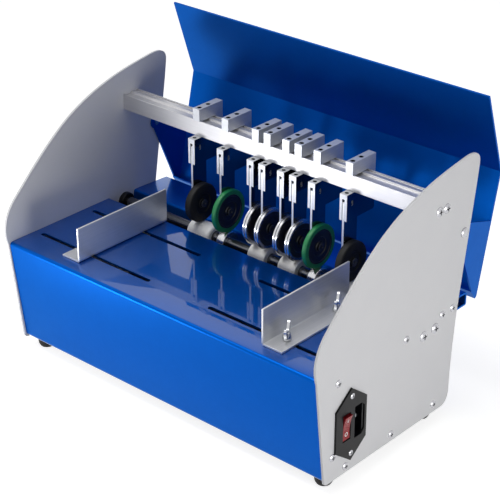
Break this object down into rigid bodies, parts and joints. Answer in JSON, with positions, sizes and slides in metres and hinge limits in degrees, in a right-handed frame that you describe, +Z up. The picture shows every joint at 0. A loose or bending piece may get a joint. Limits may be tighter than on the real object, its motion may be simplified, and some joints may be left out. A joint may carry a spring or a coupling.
{
  "type": "paper creasing machine",
  "caption": "Desk creasing machine: pressure wheels on sliding arms hang from a clamp bar over a driven roller shaft, with a feed table, side guides and a hinged lid.",
  "frame": {"origin": "on the floor, at the middle of the bottom of the bounding box", "axes": "+Z up, +X along the roller shaft towards the panel with the power inlet, +Y from the feed table towards the lid"},
  "size_m": [0.4088, 0.2736, 0.3144],
  "materials": {
    "panel_paint": "fine matt grey paint",
    "blue_paint": "glossy blue paint",
    "aluminium": "brushed",
    "steel": "turned and brushed",
    "dark_steel": "dark coated",
    "chrome": "plated",
    "rubber": "matt",
    "green_tyre": "satin",
    "hub_plastic": "satin",
    "white_roller": "satin",
    "black_plastic": "satin",
    "red_plastic": "gloss"
  },
  "bodies": {
    "frame": {"side_panel_left": "panel_paint", "side_panel_right": "panel_paint", "table_cover": "blue_paint", "rear_deck": "blue_paint", "rear_cover": "blue_paint", "base_plate": "dark_steel", "clamp_bar": "aluminium", "foot_front_left": "rubber", "foot_front_right": "rubber", "foot_rear_left": "rubber", "foot_rear_right": "rubber", "power_inlet": "black_plastic", "shaft_bearing_left": "black_plastic", "shaft_bearing_right": "black_plastic", "gear_motor": "dark_steel", "lid_pivot_left": "steel", "lid_pivot_right": "steel"},
    "roller_shaft": {"drive_shaft": "steel", "feed_roller_left": "white_roller", "feed_roller_right": "white_roller", "narrow_collar_left": "steel", "narrow_collar_right": "steel", "wide_collar_left": "steel", "wide_collar_right": "steel", "driven_gear": "steel"},
    "motor_output": {"motor_pinion": "dark_steel"},
    "lid": {"lid": "blue_paint"},
    "rocker": {"switch_rocker": "red_plastic"},
    "guide_left": {"guide_left": "aluminium"},
    "guide_right": {"guide_right": "aluminium"},
    "wing_screw_left_front": {"wing_screw_left_front": "chrome"},
    "wing_screw_left_rear": {"wing_screw_left_rear": "chrome"},
    "wing_screw_right_front": {"wing_screw_right_front": "chrome"},
    "wing_screw_right_rear": {"wing_screw_right_rear": "chrome"},
    "carrier_1": {"carrier_1": "aluminium"},
    "arm_1": {"arm_1": "steel"},
    "wheel_1": {"wheel_1": "rubber"},
    "carrier_2": {"carrier_2": "aluminium"},
    "arm_2": {"arm_2": "steel"},
    "wheel_2": {"wheel_2": "hub_plastic", "tyre_2": "green_tyre"},
    "carrier_3": {"carrier_3": "aluminium"},
    "arm_3": {"arm_3": "steel"},
    "wheel_3": {"wheel_3": "steel"},
    "carrier_4": {"carrier_4": "aluminium"},
    "arm_4": {"arm_4": "steel"},
    "wheel_4": {"wheel_4": "steel"},
    "carrier_5": {"carrier_5": "aluminium"},
    "arm_5": {"arm_5": "steel"},
    "wheel_5": {"wheel_5": "steel"},
    "carrier_6": {"carrier_6": "aluminium"},
    "arm_6": {"arm_6": "steel"},
    "wheel_6": {"wheel_6": "steel"},
    "carrier_7": {"carrier_7": "aluminium"},
    "arm_7": {"arm_7": "steel"},
    "wheel_7": {"wheel_7": "hub_plastic", "tyre_7": "green_tyre"},
    "carrier_8": {"carrier_8": "aluminium"},
    "arm_8": {"arm_8": "steel"},
    "wheel_8": {"wheel_8": "rubber"}
  },
  "joints": [
    {"name": "shaft_spin", "type": "hinge", "parent": "frame", "child": "roller_shaft", "pos_m": [-0.00208, 0.02714, 0.115], "axis": [1, 0, 0], "continuous": true},
    {"name": "pinion_spin", "type": "hinge", "parent": "frame", "child": "motor_output", "pos_m": [0.16792, 0.02714, 0.0978], "axis": [1, 0, 0], "continuous": true},
    {"name": "lid_hinge", "type": "hinge", "parent": "frame", "child": "lid", "pos_m": [-0.00208, 0.07564, 0.1905], "axis": [1, 0, 0], "range_deg": [0, 76]},
    {"name": "rocker_tip", "type": "hinge", "parent": "frame", "child": "rocker", "pos_m": [0.20022, -0.09386, 0.0615], "axis": [0, 1, 0], "range_deg": [-14, 0]},
    {"name": "guide_left_slide", "type": "slide", "parent": "frame", "child": "guide_left", "axis": [1, 0, 0], "range_m": [-0.058, 0.084]},
    {"name": "guide_right_slide", "type": "slide", "parent": "frame", "child": "guide_right", "axis": [1, 0, 0], "range_m": [-0.09, 0.046]},
    {"name": "wing_screw_left_front_turn", "type": "hinge", "parent": "guide_left", "child": "wing_screw_left_front", "pos_m": [-0.12708, -0.09836, 0.129], "axis": [0, 0, 1], "range_deg": [0, 360]},
    {"name": "wing_screw_left_rear_turn", "type": "hinge", "parent": "guide_left", "child": "wing_screw_left_rear", "pos_m": [-0.12708, -0.02786, 0.129], "axis": [0, 0, 1], "range_deg": [0, 360]},
    {"name": "wing_screw_right_front_turn", "type": "hinge", "parent": "guide_right", "child": "wing_screw_right_front", "pos_m": [0.13342, -0.09836, 0.129], "axis": [0, 0, 1], "range_deg": [0, 360]},
    {"name": "wing_screw_right_rear_turn", "type": "hinge", "parent": "guide_right", "child": "wing_screw_right_rear", "pos_m": [0.13342, -0.02786, 0.129], "axis": [0, 0, 1], "range_deg": [0, 360]},
    {"name": "carrier_1_slide", "type": "slide", "parent": "frame", "child": "carrier_1", "axis": [1, 0, 0], "range_m": [-0.096, 0.0115]},
    {"name": "arm_1_lift", "type": "slide", "parent": "carrier_1", "child": "arm_1", "axis": [0, 0, 1], "range_m": [0, 0.003], "stiffness_N_per_m": 800, "springref_m": -0.005},
    {"name": "wheel_1_spin", "type": "hinge", "parent": "arm_1", "child": "wheel_1", "pos_m": [-0.08978, 0.02714, 0.148], "axis": [1, 0, 0], "continuous": true},
    {"name": "carrier_2_slide", "type": "slide", "parent": "frame", "child": "carrier_2", "axis": [1, 0, 0], "range_m": [-0.0115, 0.013]},
    {"name": "arm_2_lift", "type": "slide", "parent": "carrier_2", "child": "arm_2", "axis": [0, 0, 1], "range_m": [0, 0.003], "stiffness_N_per_m": 800, "springref_m": -0.005},
    {"name": "wheel_2_spin", "type": "hinge", "parent": "arm_2", "child": "wheel_2", "pos_m": [-0.05118, 0.02714, 0.1502], "axis": [1, 0, 0], "continuous": true},
    {"name": "carrier_3_slide", "type": "slide", "parent": "frame", "child": "carrier_3", "axis": [1, 0, 0], "range_m": [-0.013, 0.001]},
    {"name": "arm_3_lift", "type": "slide", "parent": "carrier_3", "child": "arm_3", "axis": [0, 0, 1], "range_m": [0, 0.003], "stiffness_N_per_m": 800, "springref_m": -0.005},
    {"name": "wheel_3_spin", "type": "hinge", "parent": "arm_3", "child": "wheel_3", "pos_m": [-0.01178, 0.02714, 0.149], "axis": [1, 0, 0], "continuous": true},
    {"name": "carrier_4_slide", "type": "slide", "parent": "frame", "child": "carrier_4", "axis": [1, 0, 0], "range_m": [-0.001, 0.0051]},
    {"name": "arm_4_lift", "type": "slide", "parent": "carrier_4", "child": "arm_4", "axis": [0, 0, 1], "range_m": [0, 0.003], "stiffness_N_per_m": 800, "springref_m": -0.005},
    {"name": "wheel_4_spin", "type": "hinge", "parent": "arm_4", "child": "wheel_4", "pos_m": [0.00332, 0.02714, 0.149], "axis": [1, 0, 0], "continuous": true},
    {"name": "carrier_5_slide", "type": "slide", "parent": "frame", "child": "carrier_5", "axis": [1, 0, 0], "range_m": [-0.0051, 0.001]},
    {"name": "arm_5_lift", "type": "slide", "parent": "carrier_5", "child": "arm_5", "axis": [0, 0, 1], "range_m": [0, 0.003], "stiffness_N_per_m": 800, "springref_m": -0.005},
    {"name": "wheel_5_spin", "type": "hinge", "parent": "arm_5", "child": "wheel_5", "pos_m": [0.02691, 0.02714, 0.149], "axis": [1, 0, 0], "continuous": true},
    {"name": "carrier_6_slide", "type": "slide", "parent": "frame", "child": "carrier_6", "axis": [1, 0, 0], "range_m": [-0.001, 0.005]},
    {"name": "arm_6_lift", "type": "slide", "parent": "carrier_6", "child": "arm_6", "axis": [0, 0, 1], "range_m": [0, 0.003], "stiffness_N_per_m": 800, "springref_m": -0.005},
    {"name": "wheel_6_spin", "type": "hinge", "parent": "arm_6", "child": "wheel_6", "pos_m": [0.04222, 0.02714, 0.149], "axis": [1, 0, 0], "continuous": true},
    {"name": "carrier_7_slide", "type": "slide", "parent": "frame", "child": "carrier_7", "axis": [1, 0, 0], "range_m": [-0.005, 0.0125]},
    {"name": "arm_7_lift", "type": "slide", "parent": "carrier_7", "child": "arm_7", "axis": [0, 0, 1], "range_m": [0, 0.003], "stiffness_N_per_m": 800, "springref_m": -0.005},
    {"name": "wheel_7_spin", "type": "hinge", "parent": "arm_7", "child": "wheel_7", "pos_m": [0.06542, 0.02714, 0.1502], "axis": [1, 0, 0], "continuous": true},
    {"name": "carrier_8_slide", "type": "slide", "parent": "frame", "child": "carrier_8", "axis": [1, 0, 0], "range_m": [-0.0125, 0.079]},
    {"name": "arm_8_lift", "type": "slide", "parent": "carrier_8", "child": "arm_8", "axis": [0, 0, 1], "range_m": [0, 0.003], "stiffness_N_per_m": 800, "springref_m": -0.005},
    {"name": "wheel_8_spin", "type": "hinge", "parent": "arm_8", "child": "wheel_8", "pos_m": [0.10381, 0.02714, 0.148], "axis": [1, 0, 0], "continuous": true}
  ],
  "couplings": [
    {"joint": "pinion_spin", "follows": "shaft_spin", "ratio": -1.4286},
    {"joint": "wheel_1_spin", "follows": "shaft_spin", "ratio": -0.58252},
    {"joint": "wheel_2_spin", "follows": "shaft_spin", "ratio": -0.52632},
    {"joint": "wheel_3_spin", "follows": "shaft_spin", "ratio": -0.55556},
    {"joint": "wheel_4_spin", "follows": "shaft_spin", "ratio": -0.55556},
    {"joint": "wheel_5_spin", "follows": "shaft_spin", "ratio": -0.55556},
    {"joint": "wheel_6_spin", "follows": "shaft_spin", "ratio": -0.55556},
    {"joint": "wheel_7_spin", "follows": "shaft_spin", "ratio": -0.52632},
    {"joint": "wheel_8_spin", "follows": "shaft_spin", "ratio": -0.58252}
  ]
}
